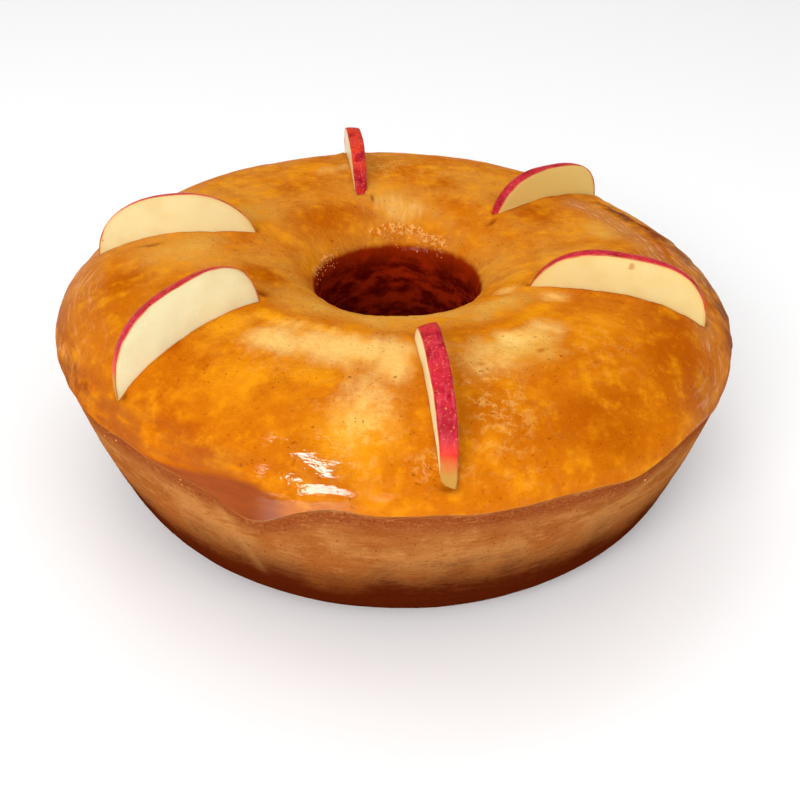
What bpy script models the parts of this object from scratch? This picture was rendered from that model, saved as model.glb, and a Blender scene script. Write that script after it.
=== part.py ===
"""Ring cake with a domed crust and six apple slices standing in it.

Metres, +Z up. The origin is the centre of the cake's flat base, and the
photographed side looks towards -Y. The cake is one solid ring, baked in a
tapered tin with a tapered tube, and each apple slice sits in its own slit.
"""

import math
from collections import namedtuple

import bmesh
import bpy
from mathutils import Matrix

# Driving dimensions of the cake
RIM_RADIUS = 0.1362          # widest circle, where the crust meets the side
RIM_HEIGHT = 0.0645
CREST_RADIUS = 0.0900        # top of the crust
CAKE_HEIGHT = 0.0885
BASE_RADIUS = 0.1245         # side's lower end, where the base's corner begins
BASE_CORNER_WIDTH = 0.0200
BASE_CORNER_HEIGHT = 0.0170
THROAT_RADIUS = 0.0335       # narrowest circle of the hole, under the crust
THROAT_HEIGHT = 0.0650
HOLE_BASE_RADIUS = 0.0400
HOLE_CORNER = 0.0030
OUTER_ROUNDNESS = 1.8        # superellipse exponents of the crust's two flanks
INNER_ROUNDNESS = 2.3
SIDE_BULGE = 0.0012          # how far the side bows out between base and rim

# How finely the ring is divided
RING_STEPS = 84
OUTER_STEPS = 9
INNER_STEPS = 9
SIDE_STEPS = 5
BASE_CORNER_STEPS = 6
HOLE_STEPS = 4

# Unevenness of the baked cake: azimuth and half width of a stretch in degrees,
# and its change of the crest's height, the rim's radius and the base's radius
Swell = namedtuple("Swell", "azimuth half_width crest rim base")
SWELLS = (
    Swell(38.0, 34.0, -0.0030, -0.0018, 0.0000),
    Swell(5.0, 26.0, -0.0006, -0.0016, 0.0000),
    Swell(142.0, 30.0, 0.0010, 0.0006, 0.0000),
    Swell(215.0, 32.0, 0.0012, 0.0008, -0.0032),
    Swell(300.0, 36.0, 0.0006, -0.0004, 0.0004),
)

# Driving dimensions of an apple slice
SLICE_HALF_LENGTH = 0.0335
SLICE_HEIGHT = 0.0310
SLICE_ROUNDNESS = 2.4
CORE_END = 0.0006            # short straight end below the peel's arc
CORE_SHARE = 0.64            # thickness at the core against that at the peel
SLICE_ARC_STEPS = 28
SLIT_GAP = 0.0003            # room between a slice and its slit

# Where each slice stands: radius and azimuth of its middle, the azimuth that
# its long side points to, its straight edge's height, its tilt outwards and
# down, its lean to the side, its length against the usual one and its peel's
# thickness. Angles are in degrees.
Place = namedtuple("Place", "name radius azimuth heading height tilt lean length thickness")
SLICES = (
    Place("apple_slice_front", 0.0970, -82.2, -82.4, 0.0698, 6.0, 0.0, 1.03, 0.0070),
    Place("apple_slice_right", 0.0896, -23.3, -16.8, 0.0722, 1.5, 0.0, 1.00, 0.0056),
    Place("apple_slice_back_right", 0.0900, 42.0, 32.0, 0.0670, 1.0, 0.0, 0.88, 0.0070),
    Place("apple_slice_back", 0.0914, 103.6, 99.5, 0.0709, 1.0, 0.0, 1.00, 0.0068),
    Place("apple_slice_back_left", 0.0908, 173.6, 191.5, 0.0748, 1.5, -6.0, 0.97, 0.0052),
    Place("apple_slice_front_left", 0.0992, -136.0, -131.4, 0.0765, 8.0, 0.0, 0.92, 0.0052),
)

# Colours as linear values
CRUST_COLOUR = (0.60, 0.25, 0.045, 1.0)
FLESH_COLOUR = (0.86, 0.70, 0.40, 1.0)
SKIN_COLOUR = (0.48, 0.035, 0.045, 1.0)


def clear_scene():
    for old in list(bpy.data.objects):
        bpy.data.objects.remove(old, do_unlink=True)


def make_collection(name):
    collection = bpy.data.collections.new(name)
    bpy.context.scene.collection.children.link(collection)
    return collection


def make_material(name, colour, roughness):
    material = bpy.data.materials.new(name)
    material.use_nodes = True
    shader = material.node_tree.nodes["Principled BSDF"]
    shader.inputs["Base Color"].default_value = colour
    shader.inputs["Roughness"].default_value = roughness
    shader.inputs["Metallic"].default_value = 0.0
    return material


def quarter_curve(start, end, exponent, steps, start_is_vertical):
    """Points of a quarter superellipse after start, up to and including end."""
    points = []
    for step in range(1, steps + 1):
        angle = 0.5 * math.pi * step / steps
        rise = math.sin(angle) ** (2.0 / exponent)
        fall = 1.0 - math.cos(angle) ** (2.0 / exponent)
        if start_is_vertical:
            across, along = fall, rise
        else:
            across, along = rise, fall
        radius = start[0] + (end[0] - start[0]) * across
        height = start[1] + (end[1] - start[1]) * along
        points.append((radius, height))
    return points


def side_points():
    """The tin's tapered side, from the rim down to the base's corner."""
    points = []
    for step in range(1, SIDE_STEPS + 1):
        share = step / SIDE_STEPS
        bulge = SIDE_BULGE * math.sin(math.pi * share)
        radius = RIM_RADIUS + (BASE_RADIUS - RIM_RADIUS) * share + bulge
        height = RIM_HEIGHT + (BASE_CORNER_HEIGHT - RIM_HEIGHT) * share
        points.append((radius, height))
    return points


def base_corner_points():
    """Round corner that leaves the side along its slope and meets the base flat."""
    slope = (RIM_RADIUS - BASE_RADIUS) / (RIM_HEIGHT - BASE_CORNER_HEIGHT)
    start = BASE_RADIUS
    middle = BASE_RADIUS - slope * BASE_CORNER_HEIGHT
    end = BASE_RADIUS - BASE_CORNER_WIDTH
    points = []
    for step in range(1, BASE_CORNER_STEPS + 1):
        share = step / BASE_CORNER_STEPS
        rest = 1.0 - share
        radius = start * rest ** 2 + 2.0 * middle * rest * share + end * share ** 2
        points.append((radius, BASE_CORNER_HEIGHT * rest ** 2))
    return points


def hole_points():
    """The tube's tapered wall, from the base up to the throat."""
    points = []
    for step in range(1, HOLE_STEPS + 1):
        share = step / HOLE_STEPS
        radius = HOLE_BASE_RADIUS + (THROAT_RADIUS - HOLE_BASE_RADIUS) * share
        height = HOLE_CORNER + (THROAT_HEIGHT - HOLE_CORNER) * share
        points.append((radius, height))
    return points


def cake_profile():
    """Closed outline at +X: crest, rim, side, base, then up the hole."""
    crest = (CREST_RADIUS, CAKE_HEIGHT)
    rim = (RIM_RADIUS, RIM_HEIGHT)
    hole_base = (HOLE_BASE_RADIUS + HOLE_CORNER, 0.0)
    hole_corner = (HOLE_BASE_RADIUS, HOLE_CORNER)
    throat = (THROAT_RADIUS, THROAT_HEIGHT)
    points = [crest]
    points += quarter_curve(crest, rim, OUTER_ROUNDNESS, OUTER_STEPS, False)
    points += side_points()
    points += base_corner_points()
    points += [hole_base, hole_corner]
    points += hole_points()
    points += quarter_curve(throat, crest, INNER_ROUNDNESS, INNER_STEPS, True)[:-1]
    return points


def swell_at(azimuth):
    """Changes of the crest's height, the rim's and the base's radius."""
    crest = 0.0
    rim = 0.0
    base = 0.0
    for swell in SWELLS:
        offset = (math.degrees(azimuth) - swell.azimuth + 180.0) % 360.0 - 180.0
        weight = math.exp(-((offset / swell.half_width) ** 2))
        crest += swell.crest * weight
        rim += swell.rim * weight
        base += swell.base * weight
    return crest, rim, base


def uneven(point):
    """The point of the turned ring moved to where the baked cake has it."""
    radius = math.hypot(point.x, point.y)
    azimuth = math.atan2(point.y, point.x)
    crest, rim, base = swell_at(azimuth)
    height_share = max(0.0, min(1.0, point.z / CAKE_HEIGHT))
    outward = max(0.0, (radius - CREST_RADIUS) / (RIM_RADIUS - CREST_RADIUS))
    radius += outward * (rim * height_share + base * (1.0 - height_share))
    point.x = radius * math.cos(azimuth)
    point.y = radius * math.sin(azimuth)
    point.z += crest * height_share ** 3


def turned_ring():
    """Mesh of the cake's profile turned about the vertical axis."""
    profile = cake_profile()
    count = len(profile)
    outline = bpy.data.meshes.new("cake_profile")
    vertices = [(radius, 0.0, height) for radius, height in profile]
    edges = [(index, (index + 1) % count) for index in range(count)]
    outline.from_pydata(vertices, edges, [])
    turning = bpy.data.objects.new("cake_profile", outline)
    bpy.context.scene.collection.objects.link(turning)
    screw = turning.modifiers.new("turn", "SCREW")
    screw.angle = 2.0 * math.pi
    screw.steps = RING_STEPS
    screw.render_steps = RING_STEPS
    screw.use_merge_vertices = True
    screw.merge_threshold = 0.0001
    graph = bpy.context.evaluated_depsgraph_get()
    mesh = bpy.data.meshes.new_from_object(turning.evaluated_get(graph))
    bpy.data.objects.remove(turning, do_unlink=True)
    return mesh


def make_cake(collection, material):
    mesh = turned_ring()
    for vertex in mesh.vertices:
        uneven(vertex.co)
    mesh.shade_smooth()
    mesh.set_sharp_from_angle(angle=math.radians(50.0))
    mesh.name = "cake"
    mesh.materials.clear()
    mesh.materials.append(material)
    cake = bpy.data.objects.new("cake", mesh)
    collection.objects.link(cake)
    return cake


def slice_outline(length_share, grow):
    """Half-moon outline: the peel's arc above a straight core edge."""
    half_length = SLICE_HALF_LENGTH * length_share + grow
    height = SLICE_HEIGHT + grow
    power = 2.0 / SLICE_ROUNDNESS
    points = []
    for step in range(SLICE_ARC_STEPS + 1):
        angle = math.pi * step / SLICE_ARC_STEPS
        along = math.copysign(abs(math.cos(angle)) ** power, math.cos(angle))
        up = max(0.0, math.sin(angle)) ** power
        points.append((half_length * along, height * up))
    core = -CORE_END - grow
    return points + [(-half_length, core), (half_length, core)]


def slice_mesh(name, place, grow):
    """Wedge of apple: thick at the peel, thin at the core, standing along X."""
    curve = bpy.data.curves.new(name, "CURVE")
    curve.dimensions = "2D"
    curve.fill_mode = "BOTH"
    curve.extrude = 0.5
    outline = slice_outline(place.length, grow)
    spline = curve.splines.new("POLY")
    spline.points.add(len(outline) - 1)
    for point, (along, up) in zip(spline.points, outline):
        point.co = (along, up, 0.0, 1.0)
    spline.use_cyclic_u = True
    flat = bpy.data.objects.new(name, curve)
    bpy.context.scene.collection.objects.link(flat)
    graph = bpy.context.evaluated_depsgraph_get()
    mesh = bpy.data.meshes.new_from_object(flat.evaluated_get(graph))
    bpy.data.objects.remove(flat, do_unlink=True)
    weld(mesh)
    for vertex in mesh.vertices:
        share = CORE_SHARE + (1.0 - CORE_SHARE) * vertex.co.y / SLICE_HEIGHT
        vertex.co.z = math.copysign(0.5 * place.thickness * share + grow, vertex.co.z)
    mesh.transform(Matrix.Rotation(math.radians(90.0), 4, "X"))
    mesh.name = name
    return mesh


def weld(mesh):
    work = bmesh.new()
    work.from_mesh(mesh)
    bmesh.ops.remove_doubles(work, verts=work.verts, dist=0.00001)
    bmesh.ops.recalc_face_normals(work, faces=work.faces)
    work.to_mesh(mesh)
    work.free()


def stand_in_crust(piece, place):
    """Put a slice or its slit where it stands in the crust."""
    middle = math.radians(place.azimuth)
    across = place.radius * math.cos(middle)
    back = place.radius * math.sin(middle)
    piece.location = (across, back, place.height)
    turns = (place.lean, place.tilt, place.heading)
    piece.rotation_euler = [math.radians(turn) for turn in turns]


def make_slice(collection, place, flesh, skin):
    mesh = slice_mesh(place.name, place, 0.0)
    mesh.materials.clear()
    mesh.materials.append(flesh)
    mesh.materials.append(skin)
    for face in mesh.polygons:
        on_peel = abs(face.normal.y) < 0.5 and face.normal.z > -0.5
        face.material_index = 1 if on_peel else 0
    piece = bpy.data.objects.new(place.name, mesh)
    collection.objects.link(piece)
    stand_in_crust(piece, place)
    return piece


def cut_slit(collection, cake, place):
    name = place.name + "_slit"
    cutter = bpy.data.objects.new(name, slice_mesh(name, place, SLIT_GAP))
    collection.objects.link(cutter)
    stand_in_crust(cutter, place)
    cutter.hide_render = True
    cutter.display_type = "WIRE"
    cut = cake.modifiers.new(name, "BOOLEAN")
    cut.operation = "DIFFERENCE"
    cut.solver = "EXACT"
    cut.object = cutter


def main():
    clear_scene()
    parts = make_collection("ring_cake")
    cutters = make_collection("cutters")
    crust = make_material("crust", CRUST_COLOUR, 0.35)
    flesh = make_material("apple_flesh", FLESH_COLOUR, 0.45)
    skin = make_material("apple_skin", SKIN_COLOUR, 0.3)
    cake = make_cake(parts, crust)
    for place in SLICES:
        make_slice(parts, place, flesh, skin)
        cut_slit(cutters, cake, place)


if __name__ == "__main__":
    main()
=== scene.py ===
"""Ring cake with a glazed crust and apple slices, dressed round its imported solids."""

import math
from collections import namedtuple

import bmesh
import bpy
import numpy as np
from bpy.props import FloatProperty, FloatVectorProperty, IntProperty, PointerProperty
from mathutils import Matrix, Vector


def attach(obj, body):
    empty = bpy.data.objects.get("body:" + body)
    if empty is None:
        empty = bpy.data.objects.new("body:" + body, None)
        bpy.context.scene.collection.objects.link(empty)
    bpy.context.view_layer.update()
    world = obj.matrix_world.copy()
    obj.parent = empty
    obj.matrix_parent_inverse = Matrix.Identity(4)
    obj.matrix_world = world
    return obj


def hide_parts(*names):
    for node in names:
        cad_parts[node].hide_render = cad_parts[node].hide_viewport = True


bl_info = {
    "name": "Ring cake with apple slices",
    "version": (1, 0, 0),
    "blender": (4, 5, 0),
    "location": "View3D > Sidebar > Ring cake",
    "description": "Bakes a glazed ring cake, its crumbs and its apple slices",
    "category": "Object",
}

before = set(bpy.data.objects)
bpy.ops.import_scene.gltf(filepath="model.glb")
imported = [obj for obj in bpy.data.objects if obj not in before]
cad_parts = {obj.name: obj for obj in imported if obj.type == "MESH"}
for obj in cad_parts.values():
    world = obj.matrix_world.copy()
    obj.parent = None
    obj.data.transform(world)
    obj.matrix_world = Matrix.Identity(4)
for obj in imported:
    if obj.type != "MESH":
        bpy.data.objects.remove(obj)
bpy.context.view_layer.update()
BODY = "root"
MM = 0.001

# Cake, in metres
RIM_RADIUS = 0.1362
RIM_HEIGHT = 0.0645
CREST_RADIUS = 0.09
CAKE_HEIGHT = 0.0885
BASE_RADIUS = 0.1245
BASE_CORNER_WIDTH = 0.02
BASE_CORNER_HEIGHT = 0.017
THROAT_RADIUS = 0.0335
THROAT_HEIGHT = 0.065
HOLE_BASE_RADIUS = 0.04
HOLE_CORNER = 0.003
OUTER_ROUNDNESS = 1.8
INNER_ROUNDNESS = 2.3
SIDE_BULGE = 0.0012
LIP_TUCK = 0.0006            # how far the side steps in under the crust's lip
LIP_DROP = 0.001
CREASE_DEPTH = 0.0007
MARKED_FROM = 0.06         # height above which the crust can have marks

# Unevenness of the baked cake: azimuth and half width in degrees, change of
# the crest's height, the rim's radius and the base's radius
Swell = namedtuple("Swell", "azimuth half_width crest rim base")
SWELLS = (
    Swell(38.0, 34.0, -0.003, -0.0018, 0.0),
    Swell(5.0, 26.0, -0.0006, -0.0016, 0.0),
    Swell(142.0, 30.0, 0.001, 0.0006, 0.0),
    Swell(215.0, 32.0, 0.0012, 0.0008, -0.0032),
    Swell(300.0, 36.0, 0.0006, -0.0004, 0.0004),
)

# Places where the crust's lip hangs lower: azimuth, half width and drop
DIPS = (
    (-109.0, 5.6, 0.0078),
    (-97.5, 4.0, -0.0014),
    (-53.0, 6.0, 0.0046),
    (-32.0, 5.0, 0.0028),
    (-130.0, 7.0, -0.0018),
    (12.0, 6.0, 0.003),
    (64.0, 9.0, 0.0022),
    (118.0, 7.0, 0.0034),
    (163.0, 8.0, 0.002),
)

# How many rows of points each stretch of the cake's outline has
OUTER_ROWS = 54
LIP_ROWS = 5
SIDE_ROWS = 34
CORNER_ROWS = 9
BASE_ROWS = 4
HOLE_ROWS = 20
INNER_ROWS = 56

# Apple slices, in metres and degrees
SLICE_HALF_LENGTH = 0.0335
SLICE_HEIGHT = 0.031
CORE_SHARE = 0.64
PEEL_THICKNESS = 0.0005
FLESH_STEPS = 73
PEEL_STEPS = 121

# The face on the bevel's side of a slice is larger than the other by bevel, in
# metres, outer and inner say how square the two ends of its arc are, and tone
# says how far its cut faces turn to the darker core colour. Taper thins the outer end.
Place = namedtuple(
    "Place", "name radius azimuth heading height tilt lean length thickness bevel outer inner tone taper")
SLICES = (
    Place("apple_slice_front", 0.0991, -82.6, -82.9, 0.0698, 6.0, 0.0,
          1.0, 0.0067, 0.0014, 2.4, 2.8, 0.3, 0.0),
    Place("apple_slice_right", 0.0896, -23.3, -16.8, 0.0725, 1.5, 0.0,
          1.02, 0.0066, -0.0004, 2.9, 2.4, 0.85, 0.5),
    Place("apple_slice_back_right", 0.0896, 42.0, 32.0, 0.0684, 1.0, 0.0,
          0.91, 0.007, -0.001, 3.1, 2.4, 1.3, 0.3),
    Place("apple_slice_back", 0.0914, 103.2, 97.5, 0.0709, 1.0, 0.0,
          1.0, 0.0068, 0.0004, 2.6, 2.4, 0.4, 0.0),
    Place("apple_slice_back_left", 0.0908, 173.6, 191.5, 0.0764, 1.5, -6.0,
          0.99, 0.0052, 0.0024, 2.35, 2.2, 0.5, 0.0),
    Place("apple_slice_front_left", 0.0992, -136.0, -131.4, 0.0774, 8.0, 0.0,
          0.965, 0.0052, 0.0018, 2.4, 2.9, 0.0, 0.0),
)

WARM_PEEL = ("apple_slice_back",)
DARK_INNER_END = ("apple_slice_right", "apple_slice_back", "apple_slice_back_left")
DARK_PATCH = ("apple_slice_front",)

# Brown marks on the cut faces: place along and up, and size
BRUISES = {
    "apple_slice_right": (0.0034, 0.0278, 0.0018),
    "apple_slice_back_left": (0.03, 0.013, 0.0011),
    "apple_slice_front_left": (-0.03, 0.004, 0.0016),
}

# Marks on the crust have their azimuth in degrees, then their radius and half
# sizes along and across the ring in millimetres, and last how deep in
# millimetres or how strong they are. Notches are gaps beside the slices, painted dark as shade.
NOTCHES = (
    (-142, 63.4, 3.4, 1.6, 0.9), (-133.4, 129.2, 1.2, 1.2, 0.8), (102, 56, 0.7, 2.4, 1.0),
    (-82.6, 132.8, 3.4, 0.9, 0.8), (-178.5, 99, 0.9, 4, 0.8), (42, 56, 0.7, 3.4, 1.0),
    (-20.8, 123.5, 1.2, 1.0, 0.6),
)
DENTS = ((-61.5, 80, 4.2, 5, 1.2), (16, 90, 2.2, 3, 0.8))

# Patches, by the finish that shows there
PATCHES = {
    # The pale patches on the front of the dome are partly painted light and sheen
    "pale": (
        (-101, 80, 29, 11, 1.0), (-118, 85, 13, 8.5, 0.9), (-90.5, 86, 8, 13, 0.85),
        (-95, 109, 11, 16, 0.5), (-69, 88, 12, 12, 0.62), (-51, 83, 9, 8, 0.58),
        (-34, 70, 6, 6, 0.6), (-33, 50, 5, 5, 0.5), (88, 50, 14, 8, 0.5),
        (112, 86, 10, 6, 0.5), (-61, 82, 8, 7, 0.85),
    ),
    "olive": (
        (-62, 86, 15, 11, 0.95), (-176, 85, 18, 16, 0.75), (155, 70, 12, 12, 0.55),
        (15, 88, 12, 8, 0.7), (100, 62, 15, 10, 0.5), (-85, 50, 32, 11, 0.85),
        (-50, 56, 16, 10, 0.75), (-125, 52, 16, 9, 0.55),
    ),
    # The bright patches on the front of the dome are partly painted light
    "bright": (
        (-131, 88, 8, 11, 0.95), (-126, 74, 9, 5, 0.95), (-110, 71, 14, 4, 0.85),
        (-96, 118, 13, 11, 0.85), (-118, 106, 13, 11, 0.65), (-105, 98, 10, 6, 0.6),
        (-45, 72, 13, 6, 0.6), (-40, 93, 8, 10, 0.5), (-20, 50, 14, 6, 0.5),
        (-88, 42, 20, 4, 0.5),
    ),
    # Deep: browned patches; those towards the dome's left and right edges are painted shade
    "deep_and_shade": (
        (-155, 56, 10, 9, 0.9), (-162, 112, 17, 15, 1.0), (-60, 122, 35, 11, 0.8),
        (-22, 113, 22, 13, 1.0), (0, 106, 20, 14, 0.9), (130, 48, 23, 11, 0.9),
        (34, 74, 14, 11, 0.85), (76, 72, 12, 7, 0.65), (128, 74, 16, 9, 0.6),
        (-158, 118, 26, 17, 0.7), (-36, 123, 24, 12, 0.9),
    ),
    # The broad rust patches on the dome's right side are partly painted shade
    "rust": (
        (-113, 109, 4.5, 5, 0.6), (-125, 110, 8, 5, 0.6), (-134, 107, 4.5, 4, 0.5),
        (-126, 127, 10, 4, 0.65), (-52, 108, 5, 4, 0.55), (-12, 120, 14, 9, 0.85),
        (12, 114, 16, 11, 0.8), (30, 108, 12, 9, 0.65), (64, 62, 5, 4, 0.6),
        (-72, 92, 1.6, 1.4, 0.9), (-58, 93, 2.2, 1.2, 0.9), (-121, 129, 19, 3.5, 0.8),
        (-33, 120, 13, 9, 0.75),
    ),
    "curdled": (
        (-95, 112, 12, 17, 1.0), (-73, 108, 11, 20, 1.0), (-68, 86, 16, 10, 0.6),
        (-48, 100, 15, 15, 0.4), (-118, 90, 16, 12, 0.5), (95, 84, 28, 10, 0.6),
        (-84, 128, 10, 4, 1.0),
    ),
    "burnt": (
        (24, 110.8, 13, 5, 1.0), (14, 116, 13, 5.2, 1.0), (5, 121.2, 12, 5.2, 1.0),
        (-3, 126.2, 11, 4.6, 1.0), (-10, 131.2, 10, 4.2, 1.0), (-17, 134.5, 9, 3.4, 1.0),
        (12, 130, 30, 6, 0.8), (42, 129, 30, 6, 0.8), (72, 131, 26, 5, 0.6),
        (-150, 134.5, 20, 2.5, 0.6),
    ),
    "pores": (
        (88, 40, 10, 2.2, 1.0), (66, 37.2, 7, 2.6, 1.0), (104, 38.5, 4, 2, 0.85),
        (168, 34.6, 4, 1.1, 1.0), (150, 35.2, 5, 1, 0.9),
    ),
}

# Lines along which dried glaze lies in strands, also painted pale as a sheen: azimuths and radii
TRAILS = (
    ((34.0, 0.096), (23.0, 0.0985), (10.0, 0.101), (0.0, 0.105), (-8.0, 0.111), (-14.0, 0.116),
     (-19.0, 0.121), (-24.0, 0.128), (-30.0, 0.1345), (-40.0, 0.1358)),
    ((-206.0, 0.108), (-190.0, 0.113), (-180.0, 0.122), (-176.0, 0.128), (-170.0, 0.1335),
     (-150.0, 0.1355)),
)
TRAIL_RADIUS = 0.115
TRAIL_WIDTH = 0.006

# Where that glaze and its painted sheen cover the rim: azimuth, half width and the radius it starts at
DRY_GLAZE_AND_SHEEN = (
    (-178.0, 22.0, 0.112),
    (0.0, 12.0, 0.106),
)


def linear(code):
    """Linear colour of a sRGB hex code such as d9a045."""
    parts = [int(code[start:start + 2], 16) / 255.0 for start in (0, 2, 4)]
    curve = [part / 12.92 if part <= 0.04045 else ((part + 0.055) / 1.055) ** 2.4 for part in parts]
    return (*curve, 1.0)


def tint(name, description, code):
    return FloatVectorProperty(
        name=name, description=description, subtype="COLOR", size=4, min=0.0, max=1.0, default=linear(code))


class RingCakeCrust(bpy.types.PropertyGroup):
    ring_steps: IntProperty(
        name="Ring steps", description="Points round the ring", default=480, min=60, max=720)
    amber: tint("Amber", "Main colour of the glazed crust", "c66b09")
    tan: tint("Tan", "Lighter baked patches", "cb832d")
    # Deep: browned crust that also serves as painted shade towards the dome's left and right edges
    deep_and_shade: tint("Deep", "Patches that browned more", "b05403")
    # Pale: less browned crust, on the front of the dome also painted light and sheen
    pale: tint("Pale", "Patches that browned less", "f4c46e")
    # Bright: yellow-orange crust, on the front of the dome also painted light
    bright: tint("Bright", "Yellow-orange patches", "ee9c12")
    olive: tint("Olive", "Yellowish tan patches", "dca244")
    fleck: tint("Fleck", "Pits and specks", "8a4408")
    crumb: tint("Crumb", "Open crumb where the crust broke", "e2a052")
    # Notch: painted shade in the gaps beside the slices
    notch_shade: tint("Notch", "Gaps beside the slices", "702a02")
    # Hole: browned crust of the hole's wall, made near-black with painted shade
    hole: tint("Hole", "Wall of the hole", "560802")
    # Strand: dried glaze, its whitish pink partly painted sheen
    strand_and_sheen: tint("Strand", "Dried strands of glaze near the rim", "dda280")
    burnt: tint("Burnt", "Dark lumps on the rim", "6e2c08")
    rust: tint("Rust", "Small marks that browned more", "b05206")
    hole_red: tint("Red of the hole", "Redder patches in the hole", "962406")
    hole_rim: tint("Rim of the hole", "Browned edge of the hole", "8a2402")
    side: tint("Side", "Upper side", "b8783e")
    side_light: tint("Light side", "Fine wrinkles of the side", "c88a4c")
    side_warm: tint("Warm side", "Redder patches of the side", "9c5420")
    # Low side: browned crust near the base, darkened further as painted shade
    low_side_and_shade: tint("Low side", "Side near the base", "521a05")
    band: tint("Band", "Crumbly band under the lip", "8e421e")
    film: tint("Film", "Thick glaze that ran over the lip", "8f4422")
    film_dark: tint("Dark film", "Darker streaks of that glaze", "733418")


class RingCakeApple(bpy.types.PropertyGroup):
    flesh: tint("Flesh", "Cut apple", "f4f5c9")
    # Core flesh: the darker tint laid over each slice's cut faces by its tone and clouds
    flesh_core: tint("Core flesh", "Cut apple that dried or browned", "dcbe6c")
    bruise: tint("Bruise", "Brown marks of the cut apple", "c26a1c")
    peel: tint("Peel", "Red peel", "c42436")
    peel_warm: tint("Warm peel", "Orange-red peel", "d83a1e")
    peel_dark: tint("Dark peel", "Darker patches of the peel", "9c0c22")
    # Pink peel: lighter pink streaks, partly the peel's own and partly painted sheen
    peel_pink_sheen: tint("Pink peel", "Lighter streaks of the peel", "d04a54")
    peel_speck: tint("Peel specks", "Pale dots of the peel", "e8a05c")
    peel_end: tint("Peel's end", "Peel that stayed yellow", "b9883c")


class RingCakeStage(bpy.types.PropertyGroup):
    floor: tint("Floor", "Plain pale floor", "fbfbfb")
    lens: FloatProperty(name="Lens", description="Camera lens in millimetres", default=42.75)
    room_light: FloatProperty(
        name="Room light", description="Even light from all round", min=0.0, default=0.66)


# Shapes by rule

def smooth(low, high, value):
    """Soft step from 0 at low to 1 at high, for numbers and arrays."""
    share = np.clip((value - low) / (high - low), 0.0, 1.0)
    return share * share * (3.0 - 2.0 * share)


def window(value, low, high, soft):
    """1 between low and high, fading to 0 over soft on both sides."""
    return smooth(low - soft, low + soft, value) * (1.0 - smooth(high - soft, high + soft, value))


def polar(points):
    """Azimuth in degrees, radius and height of each point."""
    x, y, height = points.T
    return np.degrees(np.arctan2(y, x)), np.hypot(x, y), height


def azimuth_gap(azimuth, centre):
    """Degrees from centre to azimuth, the short way round."""
    return (azimuth - centre + 180.0) % 360.0 - 180.0


def bell(azimuth, centre, half_width):
    """1 at centre, fading to 0 on both sides of it."""
    return np.exp(-(azimuth_gap(azimuth, centre) / half_width) ** 2)


def even_points(points, count):
    """The same line with count evenly spaced points after its first one."""
    points = np.array(points)
    steps = np.hypot(*np.diff(points, axis=0).T)
    travelled = np.concatenate(([0.0], np.cumsum(steps)))
    wanted = np.linspace(0.0, travelled[-1], count + 1)[1:]
    return np.stack([np.interp(wanted, travelled, column) for column in points.T], axis=1)


def quarter_curve(start, end, exponent, start_is_vertical):
    """Quarter superellipse between two points of the outline."""
    angle = np.linspace(0.0, 0.5 * math.pi, 200)
    rise = np.sin(angle) ** (2.0 / exponent)
    fall = 1.0 - np.cos(angle).clip(0.0) ** (2.0 / exponent)
    across, along = (fall, rise) if start_is_vertical else (rise, fall)
    radius = start[0] + (end[0] - start[0]) * across
    height = start[1] + (end[1] - start[1]) * along
    return np.stack([radius, height], axis=1)


def side_line(start):
    """Tapered side from under the lip to the base's corner."""
    share = np.linspace(0.0, 1.0, 60)
    bulge = SIDE_BULGE * np.sin(math.pi * share)
    radius = start[0] + (BASE_RADIUS - start[0]) * share + bulge
    height = start[1] + (BASE_CORNER_HEIGHT - start[1]) * share
    return np.stack([radius, height], axis=1)


def corner_line():
    """Round corner between the side and the base."""
    slope = (RIM_RADIUS - BASE_RADIUS) / (RIM_HEIGHT - BASE_CORNER_HEIGHT)
    middle = BASE_RADIUS - slope * BASE_CORNER_HEIGHT
    share = np.linspace(0.0, 1.0, 60)
    rest = 1.0 - share
    end = BASE_RADIUS - BASE_CORNER_WIDTH
    radius = BASE_RADIUS * rest ** 2 + 2.0 * middle * rest * share + end * share ** 2
    return np.stack([radius, BASE_CORNER_HEIGHT * rest ** 2], axis=1)


def ring_outline():
    """Closed outline of the cake and, for each point, the stretch it is on."""
    crest = (CREST_RADIUS, CAKE_HEIGHT)
    rim = (RIM_RADIUS, RIM_HEIGHT)
    tuck = (RIM_RADIUS - LIP_TUCK, RIM_HEIGHT - LIP_DROP)
    base = (BASE_RADIUS - BASE_CORNER_WIDTH, 0.0)
    hole_base = (HOLE_BASE_RADIUS + HOLE_CORNER, 0.0)
    hole_corner = (HOLE_BASE_RADIUS, HOLE_CORNER)
    throat = (THROAT_RADIUS, THROAT_HEIGHT)
    stretches = (
        ("crust", quarter_curve(crest, rim, OUTER_ROUNDNESS, False), OUTER_ROWS),
        ("lip", quarter_curve(rim, tuck, 2.0, True), LIP_ROWS),
        ("side", side_line(tuck), SIDE_ROWS),
        ("side", corner_line(), CORNER_ROWS),
        ("base", [base, hole_base], BASE_ROWS),
        ("base", [hole_base, hole_corner], 2),
        ("hole", [hole_corner, throat], HOLE_ROWS),
        ("crust", quarter_curve(throat, crest, INNER_ROUNDNESS, True), INNER_ROWS),
    )
    kinds, lines, rows = zip(*stretches)
    points = np.concatenate([even_points(line, count) for line, count in zip(lines, rows)])
    return points, np.repeat(kinds, rows)


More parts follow.
